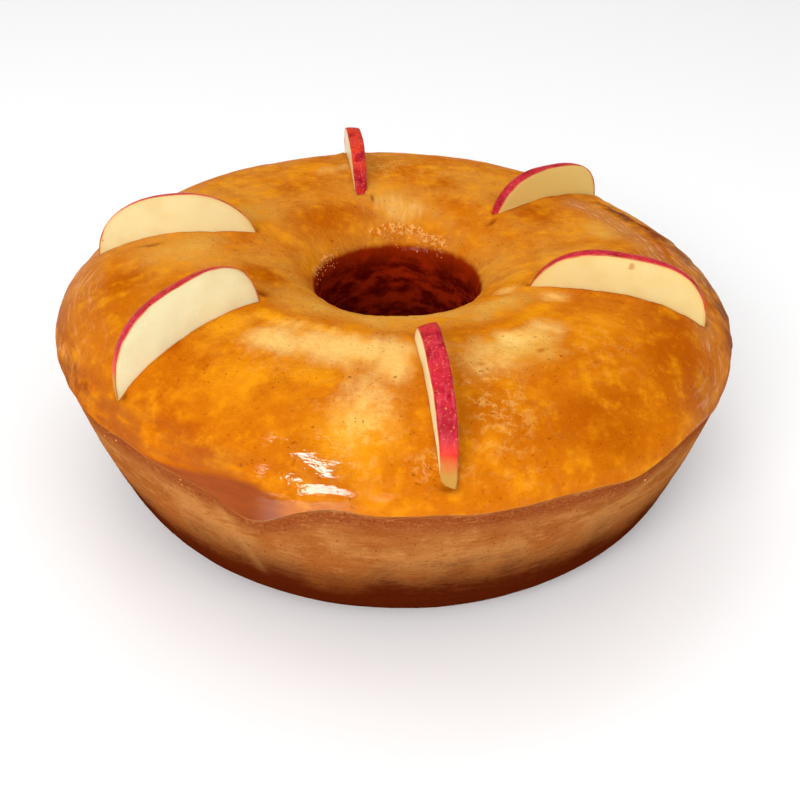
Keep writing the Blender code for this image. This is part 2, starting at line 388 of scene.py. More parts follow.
def swelled(radius, height, azimuth):
    """Radius and height after the cake's slow unevenness."""
    crest = np.zeros_like(azimuth)
    rim = np.zeros_like(azimuth)
    base = np.zeros_like(azimuth)
    for swell in SWELLS:
        weight = bell(azimuth, swell.azimuth, swell.half_width)
        crest += swell.crest * weight
        rim += swell.rim * weight
        base += swell.base * weight
    share = np.clip(height / CAKE_HEIGHT, 0.0, 1.0)
    outward = np.clip((radius - CREST_RADIUS) / (RIM_RADIUS - CREST_RADIUS), 0.0, None)
    return radius + outward * (rim * share + base * (1.0 - share)), height + crest * share ** 3


def lip_drop(azimuth):
    """How far the lip hangs below its usual height."""
    turn = np.radians(azimuth)
    drop = 0.0004 * np.sin(9.0 * turn) + 0.0003 * np.sin(23.0 * turn + 1.0)
    for centre, half_width, depth in DIPS:
        drop += depth * bell(azimuth, centre, half_width)
    return drop


def crease(azimuth, height):
    """1 along the slanting crease down the side under the lowest lip."""
    middle = -114.5 + 110.0 * (0.055 - height)
    return bell(azimuth, middle, 0.9) * window(height, 0.022, 0.056, 0.004)


def ring_points(steps):
    """Grid of points over the whole cake, with the stretch each one is on."""
    outline, kinds = ring_outline()
    turn = np.radians(np.arange(steps) * 360.0 / steps)
    radius, angle = np.meshgrid(outline[:, 0], turn, indexing="ij")
    height = np.repeat(outline[:, 1:2], steps, axis=1)
    azimuth = np.degrees(angle)
    near_lip = np.exp(-((height - RIM_HEIGHT) / 0.011) ** 2) * (radius > CREST_RADIUS)
    radius, height = swelled(radius, height, azimuth)
    height = height - lip_drop(azimuth) * near_lip
    radius = radius - CREASE_DEPTH * crease(azimuth, height) * (radius > CREST_RADIUS)
    grid = np.stack([radius * np.cos(angle), radius * np.sin(angle), height], axis=-1)
    return grid, np.repeat(kinds, steps)


def slice_matrix(place):
    """Where a slice stands: its long side along X, its peel up."""
    middle = math.radians(place.azimuth)
    spot_there = Vector((place.radius * math.cos(middle), place.radius * math.sin(middle), place.height))
    matrix = Matrix.Translation(spot_there)
    for angle, axis in ((place.heading, "Z"), (place.tilt, "Y"), (place.lean, "X")):
        matrix @= Matrix.Rotation(math.radians(angle), 4, axis)
    return matrix


def slice_distance(points, place):
    """Distance from the slice's footprint on the crust, negative inside it."""
    inverse = np.array(slice_matrix(place).inverted())
    along, across, up = (points @ inverse[:3, :3].T + inverse[:3, 3]).T
    share = CORE_SHARE + (1.0 - CORE_SHARE) * np.clip(up / SLICE_HEIGHT, 0.0, 1.0)
    along = np.abs(along) - SLICE_HALF_LENGTH * place.length
    across = np.abs(across) - 0.5 * place.thickness * share
    outside = np.hypot(np.maximum(along, 0.0), np.maximum(across, 0.0))
    return outside + np.minimum(np.maximum(along, across), 0.0)


# Meshes

def mesh_from_grid(name, grid, close_rows):
    """Quad mesh over a grid of points, closed along its columns and if asked its rows."""
    rows, columns = grid.shape[:2]
    index = np.arange(rows * columns).reshape(rows, columns)
    if close_rows:
        index = np.concatenate([index, index[:1]], axis=0)
    index = np.concatenate([index, index[:, :1]], axis=1)
    quads = np.stack([index[:-1, :-1], index[1:, :-1], index[1:, 1:], index[:-1, 1:]], axis=-1)
    mesh = bpy.data.meshes.new(name)
    mesh.from_pydata(grid.reshape(-1, 3).tolist(), [], quads.reshape(-1, 4).tolist())
    mesh.update()
    return mesh


def store(mesh, name, values, domain="POINT"):
    """Keep a number or a vector for each point or face under a name."""
    values = np.ascontiguousarray(values, dtype=np.float32)
    kind, field = ("FLOAT", "value") if values.ndim == 1 else ("FLOAT_VECTOR", "vector")
    mesh.attributes.new(name, kind, domain).data.foreach_set(field, values.ravel())


def add_object(name, data):
    piece = bpy.data.objects.new(name, data)
    bpy.context.scene.collection.objects.link(piece)
    return piece


def baked(name, mesh, tree):
    """Piece whose plain mesh is what a geometry tree makes of a mesh."""
    piece = add_object(name, mesh)
    piece.modifiers.new(tree.name, "NODES").node_group = tree
    graph = bpy.context.evaluated_depsgraph_get()
    mesh = bpy.data.meshes.new_from_object(piece.evaluated_get(graph))
    piece.modifiers.clear()
    piece.data = mesh
    mesh.name = name
    mesh.shade_smooth()
    return piece


# Nodes

class Number:
    """A node's output, which adds, subtracts and multiplies as a plain number does."""

    def __init__(self, nodes, socket):
        self.nodes = nodes
        self.socket = socket

    def maths(self, operation, other):
        return self.nodes.add("ShaderNodeMath", {0: self, 1: other}, operation=operation)

    def __add__(self, other):
        return self.maths("ADD", other)

    def __sub__(self, other):
        return self.maths("SUBTRACT", other)

    def __mul__(self, other):
        return self.maths("MULTIPLY", other)

    def step(self, low, high):
        """Soft step from 0 at low to 1 at high."""
        inputs = {"Value": self, "From Min": low, "From Max": high}
        return self.nodes.add("ShaderNodeMapRange", inputs, interpolation_type="SMOOTHSTEP")


class Nodes:
    """A node tree, with short ways to add to it."""

    def __init__(self, tree):
        self.tree = tree

    def fill(self, node, inputs):
        """Set a node's inputs to values, or link them to other nodes' outputs."""
        for name, value in inputs.items():
            if isinstance(value, Number):
                self.tree.links.new(value.socket, node.inputs[name])
            else:
                node.inputs[name].default_value = value

    def add(self, kind, inputs=None, output=0, **settings):
        """One output of a new node with these inputs and settings."""
        node = self.tree.nodes.new(kind)
        for name, value in settings.items():
            setattr(node, name, value)
        self.fill(node, inputs or {})
        return Number(self, node.outputs[output])

    def noise(self, where, scale, detail=3.0, roughness=0.5, stretch=None, distortion=0.0):
        if stretch:
            where = self.add("ShaderNodeMapping", {"Vector": where, "Scale": stretch})
        return self.add("ShaderNodeTexNoise", {
            "Vector": where, "Scale": scale, "Detail": detail, "Roughness": roughness,
            "Distortion": distortion})


class Paint(Nodes):
    """The nodes of a new material."""

    def __init__(self, name):
        self.material = bpy.data.materials.new(name)
        self.material.use_nodes = True
        super().__init__(self.material.node_tree)
        self.place = self.add("ShaderNodeTexCoord", output="Object")

    def mask(self, name, output="Fac"):
        """What the mesh keeps under a name."""
        return self.add("ShaderNodeAttribute", output=output, attribute_name=name)

    def over(self, colour, *layers):
        """A colour with others laid over it, each one by its share."""
        for share, upper in layers:
            colour = self.add("ShaderNodeMix", {0: share, 6: colour, 7: upper}, 2, data_type="RGBA")
        return colour

    def bump(self, height, distance, strength):
        return self.add("ShaderNodeBump", {"Height": height, "Distance": distance, "Strength": strength})

    def patched(self, name, wobble, amount=1.0):
        """Share of a finish whose patches a noise breaks up, and none outside them."""
        mask = self.mask(name)
        share = (mask + (wobble - 0.5) * 1.9).step(0.02, 1.0)
        return share * mask.step(0.02, 0.3) * amount

    def curds(self):
        """Small ragged dabs, where the glaze set unevenly."""
        return self.noise(self.place, 270.0, 4.0, 0.72, None, 0.3)

    def finished(self, colour, roughness, specular, inputs):
        """The material, with its colour and the other inputs of its shader."""
        inputs = {"Base Color": colour, "Roughness": roughness, "Specular IOR Level": specular, **inputs}
        self.fill(self.tree.nodes["Principled BSDF"], inputs)
        return self.material


class Geometry(Nodes):
    """A new geometry tree with a named input for each number."""

    def __init__(self, name, numbers):
        super().__init__(bpy.data.node_groups.new(name, "GeometryNodeTree"))
        sockets = self.tree.interface
        sockets.new_socket("Geometry", in_out="INPUT", socket_type="NodeSocketGeometry")
        for label, value in numbers.items():
            sockets.new_socket(label, in_out="INPUT", socket_type="NodeSocketFloat").default_value = value
        sockets.new_socket("Geometry", in_out="OUTPUT", socket_type="NodeSocketGeometry")
        self.start = self.tree.nodes.new("NodeGroupInput")

    def given(self, name):
        return Number(self, self.start.outputs[name])

    def named(self, name, kind="FLOAT"):
        """What the mesh keeps under a name."""
        return self.add("GeometryNodeInputNamedAttribute", {"Name": name}, data_type=kind)

    def vectors(self, operation, inputs):
        return self.add("ShaderNodeVectorMath", inputs, operation=operation)

    def finished(self, geometry, *materials):
        """The tree, ended by each material where its selection says."""
        geometry = self.add("GeometryNodeRealizeInstances", {0: geometry})
        for material, selection in materials:
            inputs = {"Geometry": geometry, "Selection": selection, "Material": material}
            geometry = self.add("GeometryNodeSetMaterial", inputs)
        self.fill(self.tree.nodes.new("NodeGroupOutput"), {0: geometry})
        return self.tree


# Finishes

PLAIN_SPECULAR = 0.5
DULL = (0.8, 0.8, 0.8, 1.0)


def crust_colour(paint, crust, flow):
    """Baked colours of the crust, from patches as wide as a thumb down to specks."""
    place = paint.place
    broad = paint.noise(place, 34.0, 4.0, 0.6)
    patchy = paint.noise(place, 85.0, 4.0, 0.58)
    mottle = paint.noise(place, 170.0, 3.0, 0.6)
    mixed = (patchy + paint.noise(flow, 150.0, 4.0, 0.6, (1, 1, 0.4))) * 0.5
    stipple = paint.noise(place, 360.0, 3.0, 0.6)
    grain = paint.noise(place, 620.0, 3.0, 0.65)
    specks = paint.noise(place, 900.0, 1.0, 0.4)
    strands = paint.noise(paint.mask("trail", "Vector"), 900.0, 3.0, 0.6)
    strand_and_sheen = paint.mask("strand_and_sheen") * 0.8
    dabs = paint.curds()
    curdled = paint.mask("curdled")
    return paint.over(
        crust.amber,
        (broad.step(0.3, 0.62) * paint.mask("tan"), crust.tan),
        (paint.patched("deep_and_shade", broad), crust.deep_and_shade),
        (patchy.step(0.46, 0.72) * 0.28, crust.deep_and_shade),
        (patchy.step(0.54, 0.3) * 0.38, crust.bright),
        (paint.patched("bright", mixed, 0.85), crust.bright),
        (paint.patched("olive", patchy, 0.85), crust.olive),
        (paint.patched("pale", mixed, 0.9), crust.pale),
        (dabs.step(0.48, 0.64) * (curdled * 0.42), crust.pale),
        (dabs.step(0.46, 0.32) * (curdled * 0.26), crust.rust),
        (paint.patched("rust", mottle, 0.75), crust.rust),
        (stipple.step(0.56, 0.72) * 0.16, crust.rust),
        (stipple.step(0.44, 0.28) * 0.18, crust.bright),
        (mottle.step(0.56, 0.74) * 0.2, crust.rust),
        (mottle.step(0.48, 0.24) * 0.24, crust.bright),
        (grain.step(0.56, 0.78) * 0.22, crust.rust),
        (grain.step(0.42, 0.24) * 0.18, crust.bright),
        (paint.patched("burnt", mottle, 0.9), crust.burnt),
        # Dried glaze strands, partly painted sheen
        (strand_and_sheen * 0.85, crust.side),
        (strands.step(0.54, 0.62) * strand_and_sheen, crust.strand_and_sheen),
        (specks.step(0.66, 0.75) * (patchy.step(0.4, 0.6) * 0.8), crust.fleck),
    )


def hole_colour(paint, crust):
    """Glazed wall of the hole, browned and darkened further with painted shade, redder in patches and rusty
    along its rim.
    """
    wall = paint.noise(paint.place, 105.0, 4.0, 0.62, (1, 1, 1.8))
    fine = paint.noise(paint.place, 420.0, 3.0, 0.6)
    return paint.over(
        crust.hole,
        (wall.step(0.4, 0.66), crust.hole_red),
        (fine.step(0.55, 0.75) * 0.5, crust.hole_red),
        (paint.mask("hole_rim"), crust.hole_rim),
    )


def glazed_crust(crust):
    """Golden crust under clear glaze, with the wall of the hole browned and darkened with painted shade."""
    paint = Paint("glazed_crust")
    flow = paint.mask("flow", "Vector")
    drawn = paint.noise(flow, 60.0, 4.0, 0.6, (1, 1, 2.5))
    crumb = paint.noise(paint.place, 520.0, 3.0, 0.7)
    film = paint.mask("film")
    torn = paint.mask("pores") + crumb * 0.6
    inside = paint.mask("hole") + paint.noise(paint.place, 260.0, 3.0, 0.6) * 0.5
    colour = paint.over(
        crust_colour(paint, crust, flow),
        (drawn.step(0.36, 0.62) * paint.mask("edge"), crust.film),
        (film.step(0.02, 0.4) * 0.5, crust.deep_and_shade),
        ((film + drawn * 0.5).step(0.5, 1.15) * 0.9,
         paint.over(crust.film, (drawn.step(0.35, 0.75) * 0.6, crust.film_dark))),
        (drawn.step(0.38, 0.58) * paint.mask("lip_edge") * 0.45, crust.side),
        (torn.step(0.62, 0.8), paint.over(crust.amber, (crumb.step(0.44, 0.6), crust.crumb))),
        # Browned wall of the hole with its painted shade
        (inside.step(0.35, 1.05), hole_colour(paint, crust)),
        # Painted shade in the gaps beside the slices and in the notches
        (paint.mask("slit_shade") * 0.8, crust.notch_shade),
    )
    ridges = paint.noise(flow, 190.0, 4.0, 0.65, (1, 1, 1.8))
    grain = paint.noise(flow, 640.0, 3.0, 0.6)
    wrinkles = paint.curds() * paint.mask("curdled")
    lumps = ridges * 0.8 + grain * 0.22 + wrinkles * 0.9 + crumb * paint.mask("pores") * 1.2
    wave = paint.noise(flow, 120.0, 3.0, 0.55, (1, 1, 1.6)) + grain * 0.1 + wrinkles * 0.7
    return paint.finished(colour, 0.45, 0.0, {
        "Normal": paint.bump(lumps, 0.001, 0.8),
        "Coat Normal": paint.bump(wave * paint.mask("soft"), 0.0011, 0.6),
        "Coat Weight": paint.mask("gloss"),
        "Coat Roughness": 0.05,
    })


def baked_side(crust):
    """Matte side that baked against the tin, darker towards the base from browning and from painted shade.
    """
    paint = Paint("baked_side")
    place = paint.place
    streaks = paint.noise(place, 48.0, 5.0, 0.7, (1, 1, 4.0))
    wrinkles = paint.noise(place, 150.0, 4.0, 0.65, (1, 1, 3.5))
    fine = paint.noise(place, 420.0, 3.0, 0.65, (1, 1, 2.0))
    cloud = paint.noise(place, 34.0, 4.0, 0.6)
    grit = paint.noise(place, 850.0, 2.0, 0.6)
    band = paint.mask("band")
    sway = (cloud - 0.5) * 0.034 + (streaks - 0.5) * 0.02 + (fine - 0.5) * 0.008
    level = paint.add("ShaderNodeSeparateXYZ", {0: place}, 2) + sway
    colour = paint.over(
        crust.side,
        (cloud.step(0.42, 0.62) * 0.8, crust.side_warm),
        (streaks.step(0.46, 0.64) * 0.8, crust.side_warm),
        (wrinkles.step(0.54, 0.7) * 0.45, crust.side_light),
        (fine.step(0.55, 0.75) * 0.45, crust.band),
        # Browning and painted shade: the side turns to the low side colour towards the base
        (level.step(0.044, 0.018), crust.low_side_and_shade),
        (fine.step(0.26, 0.52) * band, crust.band),
        (fine.step(0.52, 0.62) * (band * 0.35), crust.side),
        (paint.mask("crease") * 0.32, crust.side_light),
        (grit.step(0.36, 0.28) * 0.7, crust.low_side_and_shade),
    )
    relief = streaks * 0.6 + fine * 0.35 + wrinkles * 0.5 + grit * 0.15
    return paint.finished(colour, 0.65, 0.0, {"Normal": paint.bump(relief, 0.0022, 1.0)})


def crumb_finish(crust):
    paint = Paint("toasted_crumb")
    shade = paint.noise(paint.place, 300.0, 2.0)
    colour = paint.over(crust.amber, (shade.step(0.35, 0.65), crust.crumb))
    return paint.finished(colour, 0.4, PLAIN_SPECULAR, {})


def flesh_finish(apple):
    """Moist cut apple, yellower in clouds and along the peel, darker by each slice's tone and in its brown
    marks.
    """
    paint = Paint("apple_flesh")
    cloud = paint.noise(paint.place, 90.0, 3.0)
    grain = paint.noise(paint.place, 900.0, 2.0)
    inward = paint.mask("inward")
    tone = paint.mask("tone") * 0.8
    tinge = tone * 0.3 + 0.2
    brown = paint.mask("bruise") + (cloud - 0.5)
    colour = paint.over(
        apple.flesh,
        (tone, apple.flesh_core),
        (cloud.step(0.4, 0.72) * tinge, apple.flesh_core),
        (inward.step(0.14, 0.0) * tinge, apple.flesh_core),
        (inward.step(0.035, 0.012) * 0.45, apple.peel_speck),
        (brown.step(0.0, 0.6) * 0.7, apple.bruise),
    )
    return paint.finished(colour, 0.36, 0.15, {
        "Normal": paint.bump(cloud + grain * 0.25, 0.0005, 0.5),
        "Subsurface Weight": 0.15,
        "Subsurface Radius": (0.0022, 0.0018, 0.0012),
        "Subsurface Scale": 1.0,
    })


def pale_dots(paint):
    """1 inside the scattered round dots of the peel."""
    cells = {"Vector": paint.place, "Scale": 420.0}
    distance = paint.add("ShaderNodeTexVoronoi", cells, "Distance")
    number = paint.add("ShaderNodeSeparateColor", {0: paint.add("ShaderNodeTexVoronoi", cells, "Color")})
    return (number.step(0.88, 1.0) * 0.22 - distance).step(-0.05, 0.06)


def peel_finish(apple):
    """Red peel, mottled along the apple, with fine pale dots and a paler outer end."""
    paint = Paint("apple_peel")
    place = paint.place
    sheet = paint.add("ShaderNodeUVMap", uv_map="peel")
    streak = paint.noise(sheet, 1.0, 4.0, 0.65, (160.0, 620.0, 1.0))
    cloud = paint.noise(place, 110.0, 3.0, 0.6)
    fine = paint.noise(place, 1100.0, 2.0, 0.6)
    mottle = paint.noise(place, 420.0, 3.0, 0.6)
    flushed = paint.noise(place, 60.0, 2.0, 0.5)
    rim = paint.mask("side") + streak * 0.2
    far_end = paint.mask("outer") + cloud * 0.18
    colour = paint.over(
        apple.peel,
        (paint.mask("warm"), apple.peel_warm),
        (cloud.step(0.46, 0.64), apple.peel_dark),
        (paint.mask("dark"), apple.peel_dark),
        # Pink streaks, partly painted sheen
        (streak.step(0.5, 0.66) * 0.6, apple.peel_pink_sheen),
        (mottle.step(0.52, 0.68) * 0.55, apple.peel_dark),
        (mottle.step(0.44, 0.32) * 0.45, apple.peel_pink_sheen),
        (flushed.step(0.52, 0.66) * 0.35, apple.peel_warm),
        (fine.step(0.6, 0.72) * 0.45, apple.peel_speck),
        (pale_dots(paint) * 0.45, apple.peel_speck),
        (rim.step(1.0, 1.12) * 0.5, apple.peel_speck),
        (far_end.step(0.62, 0.8) * 0.8, apple.peel_warm),
        (far_end.step(0.74, 0.92), apple.peel_end),
    )
    return paint.finished(colour, 0.36, 0.06, {"Normal": paint.bump(fine, 0.0002, 0.4)})


def floor_finish(stage):
    paint = Paint("pale_floor")
    tinted = paint.noise(paint.place, 3.0, 2.0) * 0.05
    return paint.finished(paint.over(stage.floor, (tinted, DULL)), 0.6, PLAIN_SPECULAR, {})


# Cake

def spot(points, centre, reach, along, across, amount):
    """A mark on the crust: its amount in its middle, fading to 0 round it."""
    azimuth, radius, height = polar(points)
    turned = np.radians(azimuth_gap(azimuth, centre)) * reach / along
    outward = (radius / MM - reach) / across
    return amount * np.exp(-turned ** 2 - outward ** 2) * (height > MARKED_FROM)


def trail_coordinates(points):
    """Offset from the nearest trail and the way along it, for each point."""
    azimuth, radius, height = polar(points)
    offset = np.full(len(points), 1.0)
    along = np.zeros(len(points))
    for trail in TRAILS:
        travelled = 0.0
        for (turn, reach), (next_turn, next_reach) in zip(trail, trail[1:]):
            across = np.radians(azimuth_gap(azimuth, turn)) * TRAIL_RADIUS
            outward = radius - reach
            step = np.array([math.radians(next_turn - turn) * TRAIL_RADIUS, next_reach - reach])
            length = np.hypot(*step)
            share = ((across * step[0] + outward * step[1]) / length ** 2).clip(0.0, 1.0)
            away = np.stack([across - share * step[0], outward - share * step[1]])
            distance = np.hypot(*away) * np.where(away[1] < 0.0, -1.0, 1.0)
            nearer = np.abs(distance) < np.abs(offset)
            offset = np.where(nearer, distance, offset)
            along = np.where(nearer, travelled + share * length, along)
            travelled += length
    return offset, along


def slit_shade_mask(points):
    """How much painted shade darkens the crust beside the slices and in the notches."""
    beside = [smooth(0.0012, -0.0004, slice_distance(points, place)) for place in SLICES]
    shaded = 0.12 * np.max(beside, axis=0) * (points[:, 2] > MARKED_FROM)
    return np.max([shaded, *(spot(points, *notch_shade[:4], 1.0) for notch_shade in NOTCHES)], axis=0)


def strand_and_sheen_mask(points, offset):
    """How much dried glaze, painted pale as a sheen too, lies along the trails and over the rim."""
    azimuth, radius, height = polar(points)
    strand_and_sheen = np.exp(-(offset / TRAIL_WIDTH) ** 2) * (1.0 - 0.6 * smooth(0.122, 0.13, radius))
    for centre, half_width, start in DRY_GLAZE_AND_SHEEN:
        cover = 0.6 * bell(azimuth, centre, half_width) * smooth(start, start + 0.011, radius)
        strand_and_sheen = np.maximum(strand_and_sheen, cover)
    return strand_and_sheen * (height > MARKED_FROM)


def film_mask(azimuth, radius, height):
    """How much thick glaze ran down to the lip at the front left."""
    top = RIM_HEIGHT + 0.0006 + 0.004 * bell(azimuth, -115.0, 11.0)
    film = smooth(0.0018, -0.003, height - top)
    return film * window(azimuth, -141.0, -103.5, 5.0) * (radius > CREST_RADIUS)


def crust_masks(points, kinds):
    """What places the crust's colours, mostly shares from 0 to 1, by name."""
    azimuth, radius, height = polar(points)
    on_crust = (kinds == "crust") | (kinds == "lip")
    around_back = 1.0 - window(azimuth, -150.0, -20.0, 18.0)
    away_from_front = 1.0 - window(azimuth, -100.0, -38.0, 10.0)
    behind = 0.25 + 0.75 * window(azimuth, -10.0, 190.0, 30.0)
    pooled = smooth(0.118, 0.126, radius) * window(azimuth, -122.0, -88.0, 6.0)
    wet = smooth(0.119, 0.124, radius) * window(azimuth, -107.5, -95.5, 1.8)
    dry_left = smooth(0.1, 0.11, radius) * window(azimuth, -160.0, -106.0, 2.0)
    gloss = 0.07 * (1.0 - dry_left) + 0.9 * wet
    # Painted shade: down inside the hole the crust turns to the hole's dark colour
    in_hole = smooth(THROAT_HEIGHT + 0.0095, THROAT_HEIGHT + 0.0035, height) * (radius < 0.04)
    at_rim = smooth(THROAT_HEIGHT - 0.006, THROAT_HEIGHT + 0.0095, height) * (radius < 0.042)
    band = smooth(RIM_HEIGHT - 0.012, RIM_HEIGHT - 0.004, height + lip_drop(azimuth))
    offset, along = trail_coordinates(points)
    masks = {
        "tan": np.maximum(0.9 * around_back, window(radius, 0.034, 0.066, 0.006)),
        "strand_and_sheen": strand_and_sheen_mask(points, offset),
        "film": film_mask(azimuth, radius, height),
        "edge": 0.6 * smooth(0.125, 0.1345, radius) * away_from_front,
        "lip_edge": (kinds == "lip") * window(azimuth, -165.0, -15.0, 12.0),
        "slit_shade": slit_shade_mask(points),
    }
    for finish, rows in PATCHES.items():
        masks[finish] = np.max([spot(points, *row) for row in rows], axis=0)
    masks = {name: values * on_crust for name, values in masks.items()}
    masks["gloss"] = np.maximum(gloss, 0.45 * masks["curdled"]) * on_crust
    masks["hole"] = np.where(on_crust, in_hole, 1.0)
    masks["hole_rim"] = at_rim * behind * (kinds != "base")
    masks["band"] = band * (kinds == "side")
    masks["crease"] = crease(azimuth, height) * (kinds == "side")
    masks["soft"] = np.where(on_crust, 1.0 - 0.35 * pooled, 0.35) * (kinds != "base")
    masks["trail"] = np.stack([offset, 0.1 * along, np.zeros_like(along)], axis=1)
    return masks


def along_the_ring(points, steps):
    """Seamless place of each point on the unrolled ring, for patterns that follow it."""
    azimuth, radius, height = polar(points)
    outline = np.stack([radius, height], axis=1).reshape(-1, steps, 2)
    steps_between = np.hypot(*np.diff(outline, axis=0, prepend=outline[:1]).transpose(2, 0, 1))
    travelled = np.cumsum(steps_between, axis=0)
    closing = np.hypot(*(outline[0] - outline[-1]).T)
    inner_side = np.arange(len(outline)) >= len(outline) - HOLE_ROWS - INNER_ROWS - 2
    travelled[inner_side] -= travelled[-1] + closing
    turn = np.radians(azimuth)
    return np.stack([CREST_RADIUS * np.cos(turn), CREST_RADIUS * np.sin(turn), travelled.ravel()], axis=1)


def press_slices_in(points):
    """Crust lowered under each slice, and pushed up a little beside it."""
    moved = points.copy()
    for place in SLICES:
        distance = slice_distance(points, place)
        near = (points[:, 2] > MARKED_FROM) & (distance < 0.008)
        sink = 0.003 * smooth(-0.0011, -0.002, distance)
        heave = 0.0007 * np.exp(-((distance - 0.002) / 0.0016) ** 2) * (distance > -0.0004)
        moved[:, 2] += np.where(near, heave - sink, 0.0)
    for mark in NOTCHES + DENTS:
        moved[:, 2] -= MM * spot(points, *mark)
    return moved


# Lumps of the crust: height, how many to the metre, stretch across the ring
# and the part of the crust that has them
Lumps = namedtuple("Lumps", "name height scale stretch where")
RELIEF = (
    Lumps("Swell", 0.0011, 20.0, 1.0, "soft"),
    Lumps("Lump", 0.0006, 52.0, 1.0, "soft"),
    Lumps("Ridge", 0.00035, 95.0, 1.8, "soft"),
    Lumps("Dimple", 0.00013, 240.0, 1.2, "soft"),
    Lumps("Scallop", 0.002, 140.0, 0.7, "burnt"),
    Lumps("Pore", 0.0007, 330.0, 1.0, "pores"),
    Lumps("Curd", 0.0003, 230.0, 0.9, "curdled"),
)


def relief_tree(glazed, side):
    """Nodes that raise swells, ridges and dimples on the crust and finish it."""
    numbers = {}
    for lumps in RELIEF:
        numbers[lumps.name + " Height"] = lumps.height
        numbers[lumps.name + " Scale"] = lumps.scale
    nodes = Geometry("crust_relief", numbers)
    flow = nodes.named("flow", "FLOAT_VECTOR")
    rise = 0.0
    for lumps in RELIEF:
        where = nodes.vectors("MULTIPLY", {0: flow, 1: (1.0, 1.0, lumps.stretch)})
        lump = nodes.noise(where, nodes.given(lumps.name + " Scale"), 2.0) - 0.5
        lump = lump * nodes.given(lumps.name + " Height") * nodes.named(lumps.where)
        rise = lump * 2.0 + rise
    offset = nodes.vectors("SCALE", {0: nodes.add("GeometryNodeInputNormal"), "Scale": rise})
    moved = nodes.add("GeometryNodeSetPosition", {"Geometry": nodes.given("Geometry"), "Offset": offset})
    is_lower = nodes.named("lower").maths("GREATER_THAN", 0.5)
    return nodes.finished(moved, (glazed, True), (side, is_lower))


def make_cake():
    crust = bpy.context.scene.ring_cake_crust
    tree = relief_tree(glazed_crust(crust), baked_side(crust))
    steps = crust.ring_steps
    grid, kinds = ring_points(steps)
    points = press_slices_in(grid.reshape(-1, 3))
    mesh = mesh_from_grid("cake_crumb", points.reshape(grid.shape), True)
    for name, values in crust_masks(points, kinds).items():
        store(mesh, name, values)
    store(mesh, "flow", along_the_ring(points, steps))
    lower = np.isin(kinds, ("side", "base")).astype(float)
    lower[(OUTER_ROWS + 2) * steps:(OUTER_ROWS + LIP_ROWS) * steps] = 1.0
    store(mesh, "lower", lower, "FACE")
    cake = baked("cake_crumb", mesh, tree)
    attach(cake, BODY)
    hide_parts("cake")


# Crumbs

def crumb_mask(points, kinds):
    """How thickly crumbs lie: under the lip, round the hole and low on the left."""
    azimuth, radius, height = polar(points)
    under_lip = window(height + lip_drop(azimuth), RIM_HEIGHT - 0.0075, RIM_HEIGHT - 0.0015, 0.0012)
    under_lip *= (kinds == "side") * (0.3 + 2.0 * window(azimuth, -150.0, -112.0, 8.0))
    back_rim = window(azimuth, 55.0, 100.0, 7.0) * window(radius, 0.035, 0.0405, 0.0014)
    left_rim = window(azimuth, 138.0, 172.0, 6.0) * window(radius, 0.0335, 0.0358, 0.001)
    at_hole = np.maximum(back_rim, left_rim) * (height > THROAT_HEIGHT + 0.003) * (kinds == "crust")
    low_left = window(azimuth, -172.0, -142.0, 6.0) * window(height, 0.006, 0.03, 0.006) * (kinds == "side")
    return 0.012 * under_lip + 0.4 * at_hole + 0.03 * low_left


def crumb_tree(material):
    """Nodes that scatter small crumbs where the mask says."""
    nodes = Geometry("crumb_scatter", {"Density": 900000.0, "Smallest": 0.00018, "Largest": 0.0005})

    def any_vector(low, high, seed):
        inputs = {0: low, 1: high, "Seed": seed}
        return nodes.add("FunctionNodeRandomValue", inputs, data_type="FLOAT_VECTOR")

    def same_for_all_axes(name):
        return nodes.add("ShaderNodeCombineXYZ", {axis: nodes.given(name) for axis in range(3)})

    density = nodes.named("crumbs") * nodes.given("Density")
    points = nodes.add("GeometryNodeDistributePointsOnFaces", {
        "Mesh": nodes.given("Geometry"), "Density": density, "Seed": 7})
    crumbs = nodes.add("GeometryNodeInstanceOnPoints", {
        "Points": points,
        "Instance": nodes.add("GeometryNodeMeshIcoSphere", {"Radius": 1.0, "Subdivisions": 1}),
        "Rotation": any_vector((0.0, 0.0, 0.0), (6.28, 6.28, 6.28), 3),
        "Scale": any_vector(same_for_all_axes("Smallest"), same_for_all_axes("Largest"), 5)})
    return nodes.finished(crumbs, (material, True))


def make_crumbs():
    crust = bpy.context.scene.ring_cake_crust
    grid, kinds = ring_points(crust.ring_steps)
    mesh = bpy.data.objects["cake_crumb"].data.copy()
    store(mesh, "crumbs", crumb_mask(grid.reshape(-1, 3), kinds))
    crumbs = baked("loose_crumbs", mesh, crumb_tree(crumb_finish(crust)))
    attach(crumbs, BODY)


# Apple slices

def arc_points(place, steps, inset):
    """Half-moon arc in the slice's plane, from its outer end over the top to the inner."""
    angle = np.linspace(0.0, math.pi, 4 * steps)
    power = np.where(angle < 0.5 * math.pi, 2.0 / place.outer, 2.0 / place.inner)
    half = SLICE_HALF_LENGTH * place.length - inset
    along = half * np.sign(np.cos(angle)) * np.abs(np.cos(angle)) ** power
    up = (SLICE_HEIGHT - inset) * np.sin(angle).clip(0.0) ** power
    line = np.stack([along, up], axis=1)
    return np.concatenate([line[:1], even_points(line, steps - 1)])


def bevel_at(place, across):
    """How much smaller the arc is at a place across the slice, from -1 to 1."""
    return abs(place.bevel) * 0.5 * (1.0 - across * np.sign(place.bevel))


def moved_across(place, line, share, extra=0.0):
    """Line in the slice's plane, moved sideways by a share of the half thickness there."""
    along, up = line.T
    taper = 1.0 - place.taper * (0.5 + 0.5 * along / (SLICE_HALF_LENGTH * place.length))
    half = 0.5 * place.thickness * taper * (CORE_SHARE + (1.0 - CORE_SHARE) * up / SLICE_HEIGHT)
    return np.stack([along, share * (half + extra), up], axis=1)


